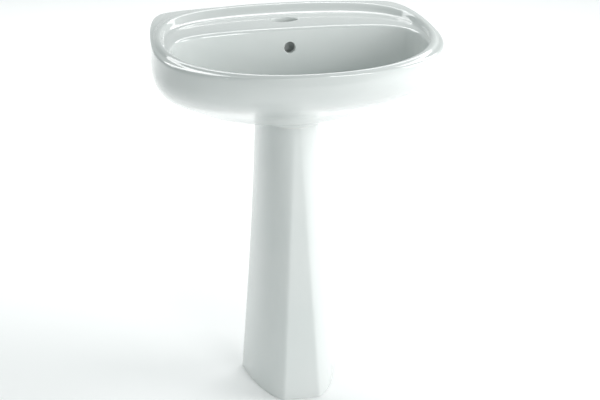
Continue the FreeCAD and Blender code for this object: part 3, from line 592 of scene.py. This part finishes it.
SECTION_POINTS = 520


def section_loop(share, shrink=0.0):
    """The U-shaped section at a share of the height, with rounded edges, shrunk by shrink."""
    outer = pedestal_points(share)
    inner = pedestal_points(share, CHINA)
    right = outer + inner[::-1]
    outline = right + [(-x, y) for x, y in reversed(right)]
    total = np.array(outline + outline[:1])
    length = np.linalg.norm(np.diff(total, axis=0), axis=1).sum()
    even = round_outline(outline, length / SECTION_POINTS, 7)[:SECTION_POINTS]
    along = np.roll(even, -1, 0) - np.roll(even, 1, 0)
    along /= np.linalg.norm(along, axis=1)[:, None]
    inward = np.stack([-along[:, 1], along[:, 0]], 1)
    area = (even[:, 0] * np.roll(even[:, 1], -1) - np.roll(even[:, 0], -1) * even[:, 1]).sum()
    return even + inward * shrink * (1 if area > 0 else -1)


EDGE_ROUND = 1.2
LUG_X = (59.0, 99.0)
LUG_Y = (-147.0, -103.0)
LUG_HEIGHT = 14.0
LUG_ROUND = 5.0
SCREWS = MOUNTS["floor_screws"]
SCREW_X = SCREWS["dims"]["spacing_x_mm"] / 2
SCREW_Y = SCREWS["pos_m"][1] / MM - WALL
SCREW_RADIUS = SCREWS["dims"]["hole_r_mm"]


def foot_lug(side):
    """A cast lug inside the foot, with soft upper edges."""
    middle = side * (LUG_X[0] + LUG_X[1]) / 2
    half = (LUG_X[1] - LUG_X[0]) / 2
    levels = [(0.0, 0.0)]
    for step in range(6):
        angle = step / 5 * math.pi / 2
        levels.append((LUG_HEIGHT - LUG_ROUND * (1 - math.sin(angle)),
                       LUG_ROUND * (1 - math.cos(angle))))
    made = Builder()
    loops = []
    for height, inset in levels:
        loop = rounded_loop(half - inset, LUG_Y[1] - inset, LUG_Y[0] + inset, height,
                            max(8 - inset, 2))
        loops.append([(x + middle, y, z) for x, y, z in loop])
    made.lofted(loops)
    return made.finish("lug_tool")


def pedestal_mesh():
    """The pedestal's wall with rounded top and bottom edges, foot lugs and screw holes."""
    steps = 5
    levels = []
    for step in range(steps):
        angle = step / steps * math.pi / 2
        levels.append((EDGE_ROUND * (1 - math.sin(angle)), EDGE_ROUND * (1 - math.cos(angle))))
    rising = [(height, shrink) for shrink, height in levels]
    middle = [(height, 0.0) for height in np.linspace(EDGE_ROUND, PEDESTAL_TOP - EDGE_ROUND, 44)]
    falling = [(PEDESTAL_TOP - height, shrink) for height, shrink in reversed(rising)]
    made = Builder()
    loops = []
    for height, shrink in rising + middle + falling:
        outline = section_loop(height / PEDESTAL_TOP, shrink)
        loops.append(np.column_stack([outline, np.full(len(outline), height)]))
    made.lofted(loops)
    piece = made.finish("pedestal_glaze")
    for side in (-1, 1):
        boolean(piece, foot_lug(side), "UNION")
        boolean(piece, tube("screw_tool", (side * SCREW_X, SCREW_Y), 2, SCREW_RADIUS,
                            -10, LUG_HEIGHT + 10, 40))
    return piece


# ---------------------------------------------------------------- materials

def node_material(name):
    """An empty node material with its Principled shader."""
    material = bpy.data.materials.new(name)
    material.use_nodes = True
    return material, material.node_tree, material.node_tree.nodes["Principled BSDF"]


def noise(tree, scale, detail=3.0, roughness=0.5):
    """Noise in object space, in the material's own metres."""
    place = tree.nodes.new("ShaderNodeTexCoord")
    texture = tree.nodes.new("ShaderNodeTexNoise")
    texture.inputs["Scale"].default_value = scale
    texture.inputs["Detail"].default_value = detail
    texture.inputs["Roughness"].default_value = roughness
    tree.links.new(place.outputs["Object"], texture.inputs["Vector"])
    return texture.outputs["Fac"]


def ramp(tree, value, low, high, stops):
    """A colour ramp over value between two positions."""
    made = tree.nodes.new("ShaderNodeValToRGB")
    made.color_ramp.elements[0].position = low
    made.color_ramp.elements[1].position = high
    for element, colour in zip(made.color_ramp.elements, stops):
        element.color = (*colour, 1)
    tree.links.new(value, made.inputs["Fac"])
    return made.outputs["Color"]


def spread(tree, value, low, high):
    """The value, 0 to 1, mapped to a range."""
    made = tree.nodes.new("ShaderNodeMapRange")
    made.inputs["To Min"].default_value = low
    made.inputs["To Max"].default_value = high
    tree.links.new(value, made.inputs["Value"])
    return made.outputs["Result"]


def bump(tree, shader, value, strength, distance):
    made = tree.nodes.new("ShaderNodeBump")
    made.inputs["Strength"].default_value = strength
    made.inputs["Distance"].default_value = distance
    tree.links.new(value, made.inputs["Height"])
    tree.links.new(made.outputs["Normal"], shader.inputs["Normal"])


def china_glaze():
    """White vitreous china: a clear glossy glaze with faint cloudiness and orange peel."""
    material, tree, shader = node_material("china_glaze")
    cloud = noise(tree, 7.0, 4.0)
    tree.links.new(ramp(tree, cloud, 0.3, 0.7, [(0.735, 0.765, 0.755), (0.765, 0.785, 0.775)]),
                   shader.inputs["Base Color"])
    tree.links.new(spread(tree, noise(tree, 40.0, 2.0), 0.05, 0.09), shader.inputs["Roughness"])
    shader.inputs["IOR"].default_value = 1.52
    shader.inputs["Coat Weight"].default_value = 0.35
    shader.inputs["Coat Roughness"].default_value = 0.03
    bump(tree, shader, noise(tree, 38.0, 1.0), 0.03, 0.0004)
    return material


def bisque():
    """Bare fired clay, where a casting stands or meets the wall."""
    material, tree, shader = node_material("bisque")
    grain = noise(tree, 900.0, 5.0, 0.6)
    tree.links.new(ramp(tree, grain, 0.35, 0.7, [(0.62, 0.58, 0.52), (0.74, 0.71, 0.66)]),
                   shader.inputs["Base Color"])
    shader.inputs["Roughness"].default_value = 0.75
    bump(tree, shader, grain, 0.35, 0.0004)
    return material


def metal(name, colour, roughness, scratch):
    material, tree, shader = node_material(name)
    shader.inputs["Metallic"].default_value = 1.0
    tone = noise(tree, 60.0, 4.0)
    lighter = tuple(min(1.0, part * 1.06) for part in colour)
    tree.links.new(ramp(tree, tone, 0.3, 0.7, [colour, lighter]), shader.inputs["Base Color"])
    tree.links.new(spread(tree, noise(tree, 350.0, 3.0), roughness, roughness + scratch),
                   shader.inputs["Roughness"])
    bump(tree, shader, noise(tree, 800.0, 2.0), 0.04, 0.0002)
    return material


def plastic(name, colour, roughness, grain=0.12):
    material, tree, shader = node_material(name)
    tone = noise(tree, 25.0, 3.0)
    darker = tuple(part * 0.94 for part in colour)
    tree.links.new(ramp(tree, tone, 0.3, 0.7, [darker, colour]), shader.inputs["Base Color"])
    tree.links.new(spread(tree, noise(tree, 200.0, 2.0), roughness, roughness + 0.1),
                   shader.inputs["Roughness"])
    shader.inputs["IOR"].default_value = 1.49
    bump(tree, shader, noise(tree, 1500.0, 2.0), grain, 0.0002)
    return material


def paint(piece, material):
    """Gives the whole piece one material."""
    piece.data.materials.clear()
    piece.data.materials.append(material)


CHINA_GLAZE = china_glaze()
BISQUE = bisque()
FINISHES = {
    "soft_strip": plastic("soft_foam", (0.78, 0.79, 0.77), 0.75, 0.4),
    "chrome": metal("chrome_plate", (0.80, 0.81, 0.82), 0.04, 0.05),
    "rubber": plastic("black_rubber", (0.025, 0.025, 0.027), 0.62, 0.3),
    "brass": metal("turned_brass", (0.66, 0.48, 0.21), 0.22, 0.12),
    "steel": metal("zinc_steel", (0.56, 0.57, 0.58), 0.28, 0.15),
    "white_plastic": plastic("white_plastic", (0.80, 0.80, 0.78), 0.28),
    "grey_plastic": plastic("grey_nylon", (0.32, 0.33, 0.34), 0.45),
}


def bare_back(piece):
    """Bisque on the faces that lie against the wall."""
    piece.data.materials.append(BISQUE)
    wall = WALL * MM
    for face in piece.data.polygons:
        if face.normal.y > 0.98 and face.center.y > wall - 0.0006:
            face.material_index = 1


def bare_foot(piece):
    """Bisque on the ring that stands on the floor."""
    piece.data.materials.append(BISQUE)
    for face in piece.data.polygons:
        if face.normal.z < -0.8 and face.center.z < 0.002:
            face.material_index = 1


# ---------------------------------------------------------------- object

def settle(piece, body, slot, *nodes):
    """Rides the piece on its body and hides the nodes that it stands for; the slot is not used."""
    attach(piece, body)
    if nodes:
        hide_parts(*nodes)


basin = basin_skin()
for cutter in basin_hollows():
    boolean(basin, cutter)
paint(basin, CHINA_GLAZE)
bare_back(basin)
settle(basin, BODY, "china", "basin")

pedestal = pedestal_mesh()
paint(pedestal, CHINA_GLAZE)
bare_foot(pedestal)
settle(pedestal, BODY, "china", "pedestal")

def plug_coil():
    """The plug's spring, a copy of the frame's mesh with its own finish, riding on the body."""
    coil = bpy.data.objects.new("plug_coil", frame["nodes"]["plug_spring"].data.copy())
    bpy.context.scene.collection.objects.link(coil)
    slot = SLOTS["plug_spring"]
    paint(coil, FINISHES[slot])
    shade(coil, math.radians(30))
    settle(coil, BODY, slot, "plug_spring")
    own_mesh(coil)


SLOTS = {part["node"]: part["material_slot"] for part in frame["record"]["subparts"]}
plug_coil()
for name, node in frame["nodes"].items():
    if SLOTS[name] in FINISHES:
        paint(node, FINISHES[SLOTS[name]])
        shade(node, math.radians(30))


# ---------------------------------------------------------------- floor, light and camera

FLOOR_FRONT = -7000
FLOOR_BACK = 5200
FLOOR_SIDE = 7000
COVE = 900
COVE_TOP = 3600


def stage_floor():
    """A plain pale floor that curves up behind the object."""
    made = Builder()
    profile = [(FLOOR_FRONT, 0), (FLOOR_BACK, 0)]
    for degrees in range(6, 91, 6):
        angle = math.radians(degrees)
        profile.append((FLOOR_BACK + COVE * math.sin(angle), COVE * (1 - math.cos(angle))))
    profile.append((FLOOR_BACK + COVE, COVE_TOP))
    loops = [made.add([(x, y, z) for y, z in profile]) for x in (-FLOOR_SIDE, FLOOR_SIDE)]
    made.bridge(loops[0], loops[1], closed=False)
    floor = made.finish("floor")
    material, tree, shader = node_material("pale_floor")
    tone = noise(tree, 1.5, 2.0)
    tree.links.new(ramp(tree, tone, 0.3, 0.7, [(0.90, 0.905, 0.905), (0.92, 0.925, 0.925)]),
                   shader.inputs["Base Color"])
    shader.inputs["Roughness"].default_value = 0.9
    paint(floor, material)


def area_light(name, place, target, size, power):
    """A soft rectangular light in watts, aimed at a target in metres."""
    data = bpy.data.lights.new(name, "AREA")
    data.shape = "RECTANGLE"
    data.size, data.size_y = size
    data.energy = power
    lamp = bpy.data.objects.new(name, data)
    lamp.location = place
    aim = Vector(target) - Vector(place)
    lamp.rotation_euler = aim.to_track_quat("-Z", "Y").to_euler()
    bpy.context.scene.collection.objects.link(lamp)


def world_light(strength, colour):
    world = bpy.data.worlds.new("studio")
    world.use_nodes = True
    background = world.node_tree.nodes["Background"]
    background.inputs["Color"].default_value = (*colour, 1)
    background.inputs["Strength"].default_value = strength
    bpy.context.scene.world = world


AZIMUTH = math.radians(11.04)
ELEVATION = math.radians(23.25)
ROLL = math.radians(0.18)
DISTANCE = 2865.5
AIM = Vector((5.2, WALL - 240.0, 472.1))
FOCAL = 79.64


def make_camera():
    """The view from the front left, a little above the rim."""
    back = Vector((-math.sin(AZIMUTH) * math.cos(ELEVATION),
                   -math.cos(AZIMUTH) * math.cos(ELEVATION), math.sin(ELEVATION)))
    data = bpy.data.cameras.new("camera")
    data.sensor_width = 36
    data.lens = FOCAL
    data.clip_end = 100
    camera = bpy.data.objects.new("camera", data)
    turn = (-back).to_track_quat("-Z", "Y").to_matrix() @ Matrix.Rotation(-ROLL, 3, "Z")
    camera.matrix_world = Matrix.Translation((AIM + back * DISTANCE) * MM) @ turn.to_4x4()
    bpy.context.scene.collection.objects.link(camera)
    bpy.context.scene.camera = camera


stage_floor()
world_light(0.34, (0.88, 0.985, 0.97))
area_light("key", (1.55, -0.45, 1.12), (0.1, 0, 0.72), (0.9, 1.0), 17)
area_light("front", (0.9, -2.1, 1.3), (0, 0, 0.72), (0.8, 0.8), 17)
area_light("streak", (-1.75, -1.9, 1.35), (-0.15, -0.15, 0.75), (0.5, 0.14), 2)
area_light("backdrop", (0.0, 1.9, 2.6), (0, 2.6, 0), (6.0, 1.6), 125)
make_camera()
bpy.context.scene.view_settings.view_transform = "Standard"
